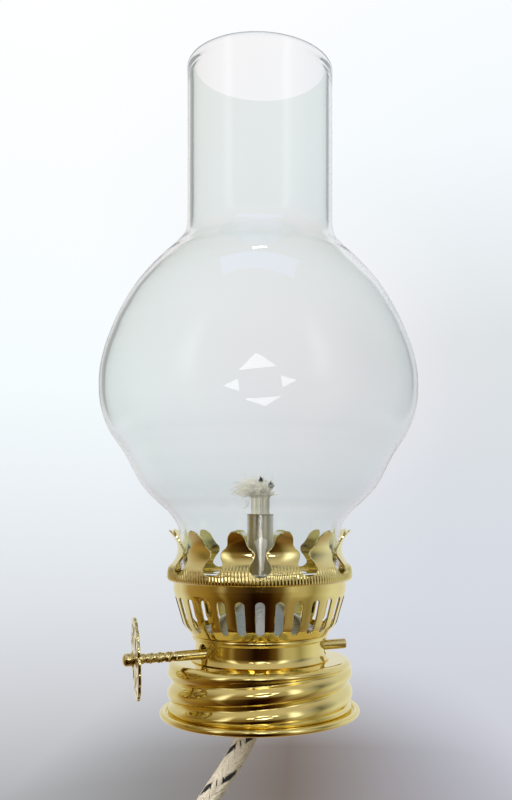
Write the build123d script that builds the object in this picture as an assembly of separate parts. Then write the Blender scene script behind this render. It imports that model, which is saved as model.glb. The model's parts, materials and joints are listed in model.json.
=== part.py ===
from build123d import *
from math import cos, pi, radians, sin
import os

# A brass lamp burner on a screw cap, with its round wick and its ball chimney.
# Millimetres and degrees. The origin is on the lamp's axis, in the plane of the cap's rim, with +Z up.
# The hand wheel points to -X. Every radius is from the lamp's axis unless its name says otherwise.

SHEET = 0.5

# Chimney: a fitter that the prongs grip, a ball with a soft shoulder low down, and a straight neck.
GLASS = 1.6
FITTER_RADIUS = 22.6
FITTER_BOTTOM = 39.7
NECK_RADIUS = 20.35
CHIMNEY_TOP = 182.0
GLASS_EDGE_FILLET = 0.75
BALL_OUTLINE = [
    (FITTER_RADIUS, 48.8),
    (FITTER_RADIUS, 50.1),
    (22.8, 52.2),
    (24.2, 55.2),
    (29.8, 60.6),
    (34.9, 67.6),
    (37.4, 72.6),
    (39.4, 75.7),
    (41.4, 78.6),
    (43.2, 82.6),
    (44.4, 91.0),
    (43.8, 98.3),
    (42.3, 103.5),
    (39.4, 110.5),
    (35.6, 117.4),
    (30.4, 124.0),
    (25.2, 129.3),
    (21.7, 133.0),
    (20.4, 136.6),
    (NECK_RADIUS, 139.0),
    (NECK_RADIUS, 141.5),
]
BALL_SAMPLES = 30

# Gallery: the vent basket's top flange is the chimney's seat, and the crown is crimped round it.
SEAT_TOP = 39.5
BASKET_TOP_RADIUS = 24.3
BASKET_FLOOR = 22.7
FLOOR_HOLE_RADIUS = 15.4
SLOT_COUNT = 28
SLOT_WIDTH = 2.4
SLOT_BOTTOM = 24.4
SLOT_TOP = 33.6
PRONG_COUNT = 12
PRONG_SHEET = 0.45
PRONG_WAIST_RADIUS = 22.98
PRONG_TIP = 51.8
CROWN_TURN = 2.4  # degrees
CROWN_RADIUS = 25.85
CROWN_BOTTOM = 37.7
CROWN_TOP = 41.6
SCALLOP_RADIUS = 3.15
SCALLOP_CENTRE = 43.2

# Sleeve between the cap and the basket.
SLEEVE_RADIUS = 18.3
SLEEVE_BEAD_RADIUS = 19.1
SLEEVE_HOLE_RADIUS = 2.15

# Screw cap. Its two grooves stand for the rolled thread, and their inner crests are cylindrical.
CAP_TOP = 15.5
CAP_HOLE_RADIUS = 16.6
SHOULDER_RADIUS = 25.5
RIDGE_RADIUS = 26.1
GROOVE_RADIUS = 24.3
RIM_OUTER_RADIUS = 28.1
RIM_INNER_RADIUS = 26.2
RIM_HEIGHT = 1.8

# Wick tube and the cone that carries it.
TUBE_RADIUS = 3.7
TUBE_BORE_RADIUS = 3.1
TUBE_BOTTOM = 13.0
TUBE_TOP = 57.3
TUBE_LIP = 0.15
TUBE_LIP_HEIGHT = 0.45
CONE_TOP = 35.0
CONE_NECK = 32.0
CONE_FLANGE_RADIUS = 18.0

# Wick raiser. Its shaft lies in front of the wick and droops a little towards the hand wheel.
SHAFT_RADIUS = 1.4
SHAFT_OFFSET = 6.0
SHAFT_HEIGHT = 18.85
SHAFT_DROOP = 1.8
SHAFT_END = 23.3
BEARING_CLEARANCE = 0.05
STAR_TEETH = 8
STAR_TIP_RADIUS = 3.9
STAR_ROOT_RADIUS = 2.8
STAR_THICKNESS = 1.0
STAR_HUB_RADIUS = 2.1
STAR_HUB_LENGTH = 2.8
HAND_WHEEL_RADIUS = 11.2
HAND_WHEEL_THICKNESS = 1.0
HAND_WHEEL_X = -35.1
NUT_RADIUS = 1.7
NUT_END = -38.6
BRACKET_BOTTOM = 16.2
BRACKET_TOP = 21.6
BRACKET_FRONT = -8.6

# Wick: a round cotton braid. The star wheel has pressed a track along it.
WICK_RADIUS = 2.9
WICK_TRACK_DEPTH_Y = -1.95
WICK_JOIN = 9.5
TUFT_STEM_TOP = 61.5
TUFT_CENTRE = (-1.2, 0.3, 63.7)
TUFT_SIZE = (5.4, 4.7, 3.3)

# The tail's route below the burner: side is towards -X and a little back, front is at right angles to it.
TAIL_BEARING = 16.0
TAIL_ROUTE = [
    (0.0, 0.0, WICK_JOIN),
    (0.0, 0.0, 2.5),
    (2.4, 0.0, -4.1),
    (8.0, 0.3, -14.7),
    (16.0, 0.9, -26.2),
    (22.8, 1.8, -39.5),
    (27.0, 2.6, -56.0),
    (27.9, 2.9, -74.0),
    (26.4, 2.2, -91.9),
]


def upright(face):
    """Stand a face drawn as (radius, height) up in the XZ plane."""
    return Rot(90, 0, 0) * face


def spin(face):
    return revolve(upright(face), Axis.Z, 360)


def edges_between(points):
    return [Line(a, b).edge() for a, b in zip(points, points[1:])]


def wall_corners(corners, thickness):
    """The corners moved sideways to the left of the way they run, keeping the wall even."""
    moved = []
    last = len(corners) - 1
    for i, corner in enumerate(corners):
        onward = (corners[min(i, last - 1) + 1] - corners[min(i, last - 1)]).normalized()
        before = (corners[max(i, 1)] - corners[max(i, 1) - 1]).normalized()
        middle = Vector(-onward.Y - before.Y, onward.X + before.X).normalized()
        left = Vector(-before.Y, before.X)
        moved.append(corner + middle * (thickness / middle.dot(left)))
    return moved


def spun_sheet(corners, radii, thickness):
    """Sheet metal spun round the lamp's axis. Its wall lies to the left of the corners, or right if negative."""
    near = [Vector(*corner) for corner in corners]
    far = wall_corners(near, thickness)
    far_radii = []
    for a, b, c, radius in zip(near, near[1:], near[2:], radii):
        turns_left = (b - a).cross(c - b).Z > 0
        far_radii.append(radius - thickness if turns_left else radius + thickness)
    outline = FilletPolyline(*near, radius=radii).edges() + FilletPolyline(*far, radius=far_radii).edges()
    ends = [Line(near[0], far[0]).edge(), Line(near[-1], far[-1]).edge()]
    return spin(make_face(outline + ends))


def around(count, part):
    """Copies of a part about the lamp's axis. One of them faces -Y."""
    return [Rot(0, 0, -90 + i * 360 / count) * part for i in range(count)]


def along_shaft(x_from, x_to, radius):
    """A cylinder on the shaft's own axis, still lying along X through the origin."""
    middle = (x_from + x_to) / 2
    return Pos(middle, 0, 0) * Rot(0, 90, 0) * Cylinder(radius, x_to - x_from)


def at_shaft(part):
    """Put a part built along X on the drooping shaft axis."""
    return Pos(0, -SHAFT_OFFSET, SHAFT_HEIGHT) * Rot(0, -SHAFT_DROOP, 0) * part


def chimney():
    outer_ball = Spline(*BALL_OUTLINE)
    inner_points = []
    for i in range(BALL_SAMPLES + 1):
        direction = outer_ball % (i / BALL_SAMPLES)
        inwards = Vector(-direction.Y, direction.X)
        inner_points.append(outer_ball @ (i / BALL_SAMPLES) + inwards * GLASS)
    inner_ball = Spline(*inner_points)
    neck = edges_between([
        outer_ball @ 1,
        (NECK_RADIUS, CHIMNEY_TOP),
        (NECK_RADIUS - GLASS, CHIMNEY_TOP),
        inner_ball @ 1,
    ])
    fitter = edges_between([
        inner_ball @ 0,
        (FITTER_RADIUS - GLASS, FITTER_BOTTOM),
        (FITTER_RADIUS, FITTER_BOTTOM),
        outer_ball @ 0,
    ])
    wall = make_face([outer_ball.edge(), inner_ball.edge()] + neck + fitter)
    rims = [v for v in wall.vertices() if v.Y > CHIMNEY_TOP - 0.1 or v.Y < FITTER_BOTTOM + 0.1]
    return spin(fillet(rims, GLASS_EDGE_FILLET))


def prong():
    """One spring prong, standing on the crown's ring on the +X side: it leans in, grips and curls out."""
    base_radius = CROWN_RADIUS - 0.6
    sheet_line = [
        Vector(base_radius, CROWN_TOP - 1.4),
        Vector(base_radius, CROWN_TOP + 0.1),
        Vector(PRONG_WAIST_RADIUS, 45.7),
        Vector(PRONG_WAIST_RADIUS, 47.5),
        Vector(25.3, PRONG_TIP),
    ]
    bends = [0.6, 1.5, 2.0]
    half = PRONG_SHEET / 2
    outer = FilletPolyline(*wall_corners(sheet_line, -half), radius=[0.6 + half, 1.5 - half, 2.0 - half])
    inner = FilletPolyline(*wall_corners(sheet_line, half), radius=[0.6 - half, 1.5 + half, 2.0 + half])
    ends = [Line(outer @ 0, inner @ 0).edge(), Line(outer @ 1, inner @ 1).edge()]
    section = upright(make_face(outer.edges() + inner.edges() + ends))
    strip = extrude(section, amount=6, both=True)
    right = Spline((3.5, CROWN_TOP - 1.5), (3.55, 42.4), (4.45, 45.7), (2.9, 48.1), (2.5, 49.8), (0, PRONG_TIP - 0.1))
    left = mirror(right, Plane.YZ)
    foot = Line(right @ 0, left @ 0)
    outline = make_face([right.edge(), left.edge(), foot.edge()])
    cutter = extrude(Plane.YZ * outline, amount=CROWN_RADIUS + 2)
    return strip & cutter


def prong_crown():
    ring = spin(make_face(edges_between([
        (BASKET_TOP_RADIUS, CROWN_BOTTOM),
        (CROWN_RADIUS - 0.55, CROWN_BOTTOM),
        (CROWN_RADIUS, CROWN_BOTTOM + 0.8),
        (CROWN_RADIUS, CROWN_TOP - 1.3),
        (CROWN_RADIUS - 0.45, CROWN_TOP),
        (CROWN_RADIUS - 0.95, CROWN_TOP),
        (BASKET_TOP_RADIUS, CROWN_TOP - 1.2),
        (BASKET_TOP_RADIUS, CROWN_BOTTOM),
    ])))
    scallop = Pos(CROWN_RADIUS, 0, SCALLOP_CENTRE) * Rot(0, 90, 0) * Cylinder(SCALLOP_RADIUS, 6)
    half_pitch = Rot(0, 0, 180 / PRONG_COUNT)
    ring -= around(PRONG_COUNT, half_pitch * scallop)
    return Rot(0, 0, CROWN_TURN) * (ring + around(PRONG_COUNT, prong()))


def vent_basket():
    bowl = spun_sheet(
        [
            (FLOOR_HOLE_RADIUS, BASKET_FLOOR),
            (19.3, BASKET_FLOOR),
            (21.7, 25.9),
            (BASKET_TOP_RADIUS, 35.0),
            (BASKET_TOP_RADIUS, SEAT_TOP),
            (21.3, SEAT_TOP),
            (21.3, SEAT_TOP - 1.3),
            (19.4, SEAT_TOP - 1.3),
        ],
        [1.2, 3.0, 6.0, 0.8, 0.6, 0.3],
        SHEET,
    )
    middle = (SLOT_BOTTOM + SLOT_TOP) / 2
    slot_face = SlotOverall(SLOT_TOP - SLOT_BOTTOM, SLOT_WIDTH, rotation=90)
    slot = Pos(0, 0, middle) * extrude(Plane.YZ * slot_face, amount=BASKET_TOP_RADIUS + 2)
    core = Pos(0, 0, middle) * Cylinder(FLOOR_HOLE_RADIUS, SLOT_TOP)
    return bowl - around(SLOT_COUNT, slot - core)


def burner_sleeve():
    sleeve = spun_sheet(
        [
            (FLOOR_HOLE_RADIUS, BASKET_FLOOR),
            (SLEEVE_BEAD_RADIUS, BASKET_FLOOR),
            (SLEEVE_BEAD_RADIUS, BASKET_FLOOR - 1.4),
            (SLEEVE_RADIUS, BASKET_FLOOR - 1.4),
            (SLEEVE_RADIUS, CAP_TOP + 2.1),
            (19.36, CAP_TOP + 0.27),
        ],
        [0.6, 0.55, 0.2, 1.2],
        -SHEET,
    )
    hole_line = Pos(0, -SHAFT_OFFSET, SHAFT_HEIGHT) * Rot(0, 90, 0)
    return sleeve - hole_line * Cylinder(SLEEVE_HOLE_RADIUS, 50)


def tube_cone():
    return spun_sheet(
        [
            (TUBE_RADIUS + SHEET, CONE_TOP),
            (TUBE_RADIUS + SHEET, CONE_NECK),
            (15.8, BASKET_FLOOR + 2 * SHEET),
            (CONE_FLANGE_RADIUS, BASKET_FLOOR + 2 * SHEET),
        ],
        [1.0, 1.0],
        -SHEET,
    )


def upright_cylinder(radius, low, high):
    return Pos(0, 0, (low + high) / 2) * Cylinder(radius, high - low)


def wick_tube():
    tube = upright_cylinder(TUBE_RADIUS, TUBE_BOTTOM, TUBE_TOP)
    tube += upright_cylinder(TUBE_RADIUS + TUBE_LIP, TUBE_TOP - TUBE_LIP_HEIGHT, TUBE_TOP)
    tube -= upright_cylinder(TUBE_BORE_RADIUS, TUBE_BOTTOM - 1, TUBE_TOP + 1)
    window_height = 2 * STAR_TIP_RADIUS
    window = Pos(0, -TUBE_RADIUS, SHAFT_HEIGHT) * Box(1.8, 2.4, window_height)
    return tube - window


def shaft_bracket():
    """A strap bent round the tube, with an ear on each side of the star wheel to carry the shaft."""
    outer = TUBE_RADIUS + 0.6
    height = BRACKET_TOP - BRACKET_BOTTOM
    middle = (BRACKET_TOP + BRACKET_BOTTOM) / 2
    ears = Pos(0, BRACKET_FRONT / 2, middle) * Box(2 * outer, -BRACKET_FRONT, height)
    gap = Pos(0, BRACKET_FRONT / 2 - 0.5, middle) * Box(2 * TUBE_RADIUS, 1 - BRACKET_FRONT, height + 1)
    strap = upright_cylinder(outer, BRACKET_BOTTOM, BRACKET_TOP)
    bore = upright_cylinder(TUBE_RADIUS, BRACKET_BOTTOM - 1, BRACKET_TOP + 1)
    bearing = at_shaft(along_shaft(-outer - 1, outer + 1, SHAFT_RADIUS + BEARING_CLEARANCE))
    return ears + strap - gap - bore - bearing


def wick_shaft():
    rod = along_shaft(NUT_END + 1.2, SHAFT_END, SHAFT_RADIUS)
    return at_shaft(chamfer(rod.edges().sort_by(Axis.X)[-1], 0.25))


def wick_wheel():
    points = []
    for i in range(2 * STAR_TEETH):
        radius = STAR_TIP_RADIUS if i % 2 == 0 else STAR_ROOT_RADIUS
        angle = pi * i / STAR_TEETH
        points.append((radius * cos(angle), radius * sin(angle)))
    star = extrude(Plane.YZ * make_face(Polyline(*points, close=True)), amount=STAR_THICKNESS / 2, both=True)
    hub = along_shaft(-STAR_HUB_LENGTH / 2, STAR_HUB_LENGTH / 2, STAR_HUB_RADIUS)
    bore = along_shaft(-STAR_HUB_LENGTH, STAR_HUB_LENGTH, SHAFT_RADIUS)
    return at_shaft(star + hub - bore)


def hand_wheel():
    """A pierced disc: a scalloped rim, and petals round the hub with a small hole between their tips."""
    petals = 8
    disc = Circle(HAND_WHEEL_RADIUS - 0.5)
    for i in range(2 * petals):
        angle = pi * i / petals
        disc += Pos(10.0 * cos(angle), 10.0 * sin(angle)) * Circle(1.2)
    disc = Sketch() + disc - Circle(SHAFT_RADIUS)
    for i in range(petals):
        turn = 360 * i / petals
        window = make_hull((Pos(8.0, 0) * Circle(1.35)).edges() + (Pos(4.0, 0) * Circle(0.5)).edges())
        disc -= Rot(0, 0, turn) * window
        disc -= Rot(0, 0, turn + 180 / petals) * Pos(9.5, 0) * Circle(0.75)
    thick = extrude(Plane.YZ * disc, amount=HAND_WHEEL_THICKNESS / 2, both=True)
    return at_shaft(Pos(HAND_WHEEL_X, 0, 0) * thick)


def hand_wheel_nut():
    face = HAND_WHEEL_X - HAND_WHEEL_THICKNESS / 2
    nut = along_shaft(NUT_END, face, NUT_RADIUS)
    nut = fillet(nut.edges().sort_by(Axis.X)[0], 0.9)
    nut += along_shaft(face - 0.5, face, 2.1)
    return at_shaft(nut - along_shaft(NUT_END + 1.2, face + 1, SHAFT_RADIUS))


def screw_cap():
    shell = spun_sheet(
        [
            (CAP_HOLE_RADIUS, CAP_TOP),
            (SHOULDER_RADIUS, CAP_TOP),
            (SHOULDER_RADIUS, 11.7),
            (GROOVE_RADIUS, 10.2),
            (GROOVE_RADIUS, 8.5),
            (RIDGE_RADIUS, 7.4),
            (RIDGE_RADIUS, 5.9),
            (GROOVE_RADIUS, 4.7),
            (GROOVE_RADIUS, 3.1),
            (26.7, 1.1),
        ],
        [1.9, 0.9, 0.8, 0.7, 0.75, 0.75, 0.7, 0.8],
        -SHEET,
    )
    rim_face = make_face(edges_between([
        (RIM_INNER_RADIUS, 0),
        (RIM_OUTER_RADIUS, 0),
        (RIM_OUTER_RADIUS, RIM_HEIGHT),
        (RIM_INNER_RADIUS, RIM_HEIGHT),
        (RIM_INNER_RADIUS, 0),
    ]))
    rim_face = fillet(rim_face.vertices().filter_by(lambda v: v.Y > 1), 0.85)
    rim_face = fillet(rim_face.vertices().filter_by(lambda v: v.Y < 0.1), 0.5)
    return shell + spin(rim_face)


def wick_core():
    core = upright_cylinder(WICK_RADIUS, WICK_JOIN, TUBE_TOP)
    track_width = STAR_THICKNESS + 0.7
    track = Box(track_width, 4, 200, align=(Align.CENTER, Align.MAX, Align.CENTER))
    return core - Pos(0, WICK_TRACK_DEPTH_Y, 0) * track


def wick_tuft():
    stem = upright_cylinder(WICK_RADIUS, TUBE_TOP, TUFT_STEM_TOP)
    head = Pos(*TUFT_CENTRE) * scale(Sphere(1), by=TUFT_SIZE)
    return stem + head


def wick_tail():
    side = Vector(-cos(radians(TAIL_BEARING)), sin(radians(TAIL_BEARING)))
    front = Vector(-sin(radians(TAIL_BEARING)), -cos(radians(TAIL_BEARING)))
    points = [side * a + front * b + Vector(0, 0, c) for a, b, c in TAIL_ROUTE]
    radii = []
    for a, b, c in zip(points, points[1:], points[2:]):
        shorter = min((b - a).length, (c - b).length)
        half_turn = radians((b - a).get_angle(c - b) / 2)
        radii.append(0.45 * shorter * cos(half_turn) / sin(half_turn))
    path = FilletPolyline(*points, radius=radii)
    tail = sweep(Pos(*points[0]) * Circle(WICK_RADIUS), path=path)
    print("tail bend radii", [round(r, 1) for r in radii])
    print("tail length", round(path.length, 1), "volume", round(tail.volume, 1))
    print("section times length", round(pi * WICK_RADIUS**2 * path.length, 1))
    print("tail points in metres", [tuple(round(v / 1000, 5) for v in p) for p in points])
    return tail


PIECES = {
    "chimney": chimney,
    "prong_crown": prong_crown,
    "vent_basket": vent_basket,
    "burner_sleeve": burner_sleeve,
    "tube_cone": tube_cone,
    "wick_tube": wick_tube,
    "shaft_bracket": shaft_bracket,
    "screw_cap": screw_cap,
    "wick_shaft": wick_shaft,
    "wick_wheel": wick_wheel,
    "hand_wheel": hand_wheel,
    "hand_wheel_nut": hand_wheel_nut,
    "wick_core": wick_core,
    "wick_tuft": wick_tuft,
    "wick_tail": wick_tail,
}

os.makedirs("parts", exist_ok=True)
for name, make in PIECES.items():
    piece = make()
    print(name, len(piece.solids()), piece.is_valid)
    export_step(piece, f"parts/{name}.step")
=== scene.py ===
"""An oil lamp's brass burner, round wick and glass chimney, in the frame of its CAD model."""
import json
import random
from math import acos, atan2, ceil, cos, hypot, pi, radians, sin, tan

import bmesh
import bpy
from mathutils import Matrix, Vector, noise


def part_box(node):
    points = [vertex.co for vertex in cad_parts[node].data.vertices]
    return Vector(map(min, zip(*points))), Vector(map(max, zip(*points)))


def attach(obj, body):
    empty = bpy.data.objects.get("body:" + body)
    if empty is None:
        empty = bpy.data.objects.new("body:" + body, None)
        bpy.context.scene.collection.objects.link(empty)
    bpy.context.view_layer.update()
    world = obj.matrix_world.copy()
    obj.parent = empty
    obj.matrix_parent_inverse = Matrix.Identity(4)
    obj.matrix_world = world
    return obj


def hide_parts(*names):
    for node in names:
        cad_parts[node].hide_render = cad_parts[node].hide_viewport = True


MM = 0.001
SHEET = 0.5 * MM

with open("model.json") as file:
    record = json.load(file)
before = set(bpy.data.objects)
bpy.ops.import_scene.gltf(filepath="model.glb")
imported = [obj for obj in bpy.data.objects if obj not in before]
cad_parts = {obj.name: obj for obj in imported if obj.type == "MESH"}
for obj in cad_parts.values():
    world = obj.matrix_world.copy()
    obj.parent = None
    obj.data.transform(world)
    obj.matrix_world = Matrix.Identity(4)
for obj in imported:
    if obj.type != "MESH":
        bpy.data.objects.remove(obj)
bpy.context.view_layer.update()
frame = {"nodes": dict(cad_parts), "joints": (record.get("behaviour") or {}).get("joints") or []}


# Places that the frame gives

BOXES = {node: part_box(node) for node in frame["nodes"]}


def low(node):
    return BOXES[node][0]


def high(node):
    return BOXES[node][1]


def radius_of(node):
    """The outer radius of a node that is round about the lamp's axis."""
    return high(node).y


TURN = 2 * pi
LEFT = pi
FRONT = 1.5 * pi
TUBE_TOP = high("wick_tube").z
CAP_TOP = high("screw_cap").z
SEAT = high("vent_basket").z
FLOOR_OF_BASKET = low("vent_basket").z
HINGE = next(j for j in frame["joints"] if j["name"] == "raiser_turn")
SHAFT_CENTRE = Vector(HINGE["pos_m"])
SHAFT_LINE = Vector(HINGE["axis"]).normalized()
GROUND = low("wick_tail").z - 12 * MM


# Outlines: points are (radius, height)


def turned(spoke, angle):
    """A flat vector turned to its left."""
    return Vector((
        spoke.x * cos(angle) - spoke.y * sin(angle),
        spoke.x * sin(angle) + spoke.y * cos(angle),
    ))


def rounded(corners, radii, step=0.4 * MM):
    """Points along a run of straight lines with an arc of the given radius at each inner corner."""
    corners = [Vector(c) for c in corners]
    points = [corners[0]]
    for before, corner, after, radius in zip(corners, corners[1:], corners[2:], radii):
        coming = (corner - before).normalized()
        going = (after - corner).normalized()
        turn = acos(max(-1, min(1, coming.dot(going))))
        reach = radius * tan(turn / 2)
        side = 1 if coming.cross(going) > 0 else -1
        centre = corner - coming * reach + Vector((-coming.y, coming.x)) * side * radius
        start = corner - coming * reach - centre
        count = max(2, ceil(turn / radians(7)))
        for i in range(count + 1):
            points.append(centre + turned(start, side * turn * i / count))
    points.append(corners[-1])
    fine = [points[0]]
    for a, b in zip(points, points[1:]):
        count = max(1, ceil((b - a).length / step))
        fine += [a.lerp(b, (i + 1) / count) for i in range(count)]
    return fine


def smooth_through(knots, count):
    """Points on a Catmull-Rom curve through the knots, even in their own spacing."""
    knots = [Vector(k) for k in knots]
    points = []
    for i in range(len(knots) - 1):
        a = knots[max(i - 1, 0)]
        b = knots[i]
        c = knots[i + 1]
        d = knots[min(i + 2, len(knots) - 1)]
        for j in range(count):
            t = j / count
            points.append(0.5 * (
                2 * b + (c - a) * t + (2 * a - 5 * b + 4 * c - d) * t**2 + (3 * b - a - 3 * c + d) * t**3
            ))
    return points + [knots[-1]]


def distances(points):
    """How far along a line each of its points is."""
    lengths = [0.0]
    for a, b in zip(points, points[1:]):
        lengths.append(lengths[-1] + (b - a).length)
    return lengths


def evenly(points, step):
    """The same line with its points a step apart."""
    lengths = distances(points)
    count = max(2, round(lengths[-1] / step))
    out = []
    k = 0
    for i in range(count + 1):
        want = lengths[-1] * i / count
        while k < len(points) - 2 and lengths[k + 1] < want:
            k += 1
        share = (want - lengths[k]) / max(lengths[k + 1] - lengths[k], 1e-12)
        out.append(points[k].lerp(points[k + 1], share))
    return out


def lefts(points):
    """At each point of a line, the unit vector to its left."""
    out = []
    for i in range(len(points)):
        ahead = points[min(i + 1, len(points) - 1)] - points[max(i - 1, 0)]
        ahead.normalize()
        out.append(Vector((-ahead.y, ahead.x)))
    return out


def polar(radius, angle, height):
    return Vector((radius * cos(angle), radius * sin(angle), height))


# Meshes


def add(name, data):
    """A new object in the scene."""
    made = bpy.data.objects.new(name, data)
    bpy.context.collection.objects.link(made)
    return made


def piece_from(name, shape, material, body, stands_for=(), sharp=38):
    """A mesh object on a body of the frame. Edges sharper than that many degrees stay crisp."""
    mesh = bpy.data.meshes.new(name)
    mesh.from_pydata(shape.verts, [], shape.faces)
    work = bmesh.new()
    work.from_mesh(mesh)
    bmesh.ops.remove_doubles(work, verts=work.verts, dist=1e-7)
    bmesh.ops.recalc_face_normals(work, faces=work.faces)
    work.to_mesh(mesh)
    work.free()
    mesh.shade_smooth()
    mesh.set_sharp_from_angle(angle=radians(sharp))
    mesh.materials.append(material)
    piece = add(name, mesh)
    settle(piece, body, stands_for)
    return piece


def settle(piece, body, stands_for=()):
    """Hide the nodes of the frame that a piece stands for, and put the piece on the body that it moves with.
    """
    if stands_for:
        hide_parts(*stands_for)
    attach(piece, body)


class Shape:
    """Vertices and faces that grow together."""

    def __init__(self):
        self.verts = []
        self.faces = []

    def grid(self, rows, closed_rows=False, closed_columns=False):
        """Quads between neighbouring points of a list of equally long rows."""
        start = len(self.verts)
        wide = len(rows[0])
        for row in rows:
            self.verts += row
        row_pairs = len(rows) if closed_rows else len(rows) - 1
        column_pairs = wide if closed_columns else wide - 1
        for i in range(row_pairs):
            for j in range(column_pairs):
                a = start + i * wide
                b = start + (i + 1) % len(rows) * wide
                k = (j + 1) % wide
                self.faces.append((a + j, a + k, b + k, b + j))

    def spin(self, loop, segments=300, bump=None):
        """A closed outline turned round the lamp's axis. bump(angle, radius, height) adds to the radius."""
        rows = []
        for i in range(segments):
            angle = TURN * i / segments
            row = []
            for point in loop:
                extra = bump(angle, point.x, point.y) if bump else 0
                row.append(polar(point.x + extra, angle, point.y))
            rows.append(row)
        self.grid(rows, closed_rows=True, closed_columns=True)

    def rod(self, rows):
        """A skin through rings of points, closed at both ends."""
        sides = len(rows[0])
        self.grid(rows, closed_columns=True)
        last = len(self.verts)
        first = last - len(rows) * sides
        self.faces.append(tuple(range(first, first + sides)))
        self.faces.append(tuple(range(last - sides, last)))

    def tube(self, path, radii, sides):
        """A closed tube along a path. radii is one number, or one for each point."""
        rows = []
        normal = None
        for i, point in enumerate(path):
            ahead = (path[min(i + 1, len(path) - 1)] - path[max(i - 1, 0)]).normalized()
            if normal is None:
                normal = ahead.orthogonal()
            normal = (normal - ahead * normal.dot(ahead)).normalized()
            across = ahead.cross(normal)
            radius = radii[i] if isinstance(radii, list) else radii
            ring = []
            for j in range(sides):
                angle = TURN * j / sides
                ring.append(point + radius * (normal * cos(angle) + across * sin(angle)))
            rows.append(ring)
        self.rod(rows)


def sheet_loop(path, thickness):
    """The closed outline of a sheet whose outer face runs along path. Its wall lies to the left."""
    return path + [p + n * thickness for p, n in zip(path, lefts(path))][::-1]


# Materials


def blank_material(name):
    material = bpy.data.materials.new(name)
    material.use_nodes = True
    nodes = material.node_tree.nodes
    nodes.clear()
    return material, nodes


def node(nodes, kind, **settings):
    """A new shader node, with its inputs and settings."""
    made = nodes.new("ShaderNode" + kind)
    for key, value in settings.items():
        if key in made.inputs:
            made.inputs[key].default_value = value
        else:
            setattr(made, key, value)
    return made


def join(source, target):
    """Lead one socket into another, or set that other to a plain value."""
    if isinstance(source, bpy.types.NodeSocket):
        target.id_data.links.new(source, target)
    else:
        target.default_value = source


def show(nodes, surface, kind="OutputMaterial"):
    """The tree's output, with its surface joined."""
    output = node(nodes, kind)
    join(surface, output.inputs["Surface"])
    return output


def maths(nodes, operation, *values):
    """A Math node's result. The values are sockets or plain numbers."""
    made = node(nodes, "Math", operation=operation)
    for value, socket in zip(values, made.inputs):
        join(value, socket)
    return made.outputs["Value"]


def emboss(nodes, shader, height, strength, distance):
    """Small bumps in a shader's surface."""
    bump = node(nodes, "Bump", Strength=strength, Distance=distance)
    join(height, bump.inputs["Height"])
    join(bump.outputs["Normal"], shader.inputs["Normal"])


def noise_at(nodes, scale, detail=3.0, stretch=(1, 1, 1)):
    """Noise in the object's own coordinates, in metres, stretched along the axes."""
    place = node(nodes, "TexCoord")
    mapping = node(nodes, "Mapping")
    mapping.inputs["Scale"].default_value = stretch
    join(place.outputs["Object"], mapping.inputs["Vector"])
    texture = node(nodes, "TexNoise", Scale=scale, Detail=detail)
    join(mapping.outputs["Vector"], texture.inputs["Vector"])
    return texture.outputs["Fac"]


def ramp(nodes, source, stops):
    """Colours along a value. stops are (position, colour)."""
    made = node(nodes, "ValToRGB")
    ends = made.color_ramp.elements
    while len(ends) < len(stops):
        ends.new(0.5)
    for end, (position, colour) in zip(ends, stops):
        end.position = position
        end.color = (*colour, 1)
    join(source, made.inputs["Fac"])
    return made.outputs["Color"]


def between(nodes, source, first, last, start, end):
    """A value that goes from first to last as the source goes from start to end."""
    limits = {"From Min": start, "From Max": end, "To Min": first, "To Max": last}
    made = node(nodes, "MapRange", **limits)
    join(source, made.inputs["Value"])
    return made.outputs["Result"]


def mixed(nodes, share, first, second, blend="MIX"):
    """One colour laid over another. share, first and second are sockets or plain values."""
    made = node(nodes, "Mix", data_type="RGBA", blend_type=blend)
    for index, value in ((0, share), (6, first), (7, second)):
        join(value, made.inputs[index])
    return made.outputs[2]


def along(nodes, vector, axis):
    """How far a vector reaches along an axis."""
    made = node(nodes, "VectorMath", operation="DOT_PRODUCT")
    join(vector, made.inputs[0])
    made.inputs[1].default_value = axis
    return made.outputs["Value"]


def metal(name, tints, roughness, scratches, stretch=(1, 1, 1)):
    """Sheet metal: patchy colour and gloss, and fine scratches stretched one way."""
    material, nodes = blank_material(name)
    shader = node(nodes, "BsdfPrincipled", Metallic=1.0)
    patches = noise_at(nodes, 70.0, 4.0)
    colour = ramp(nodes, patches, [(0.35, tints[0]), (0.7, tints[1])])
    join(colour, shader.inputs["Base Color"])
    smears = noise_at(nodes, 160.0, 5.0, stretch)
    join(between(nodes, smears, *roughness, 0.3, 0.7), shader.inputs["Roughness"])
    lines = noise_at(nodes, 900.0, 4.0, stretch)
    emboss(nodes, shader, lines, scratches, 0.06 * MM)
    show(nodes, shader.outputs["BSDF"])
    return material


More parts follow.
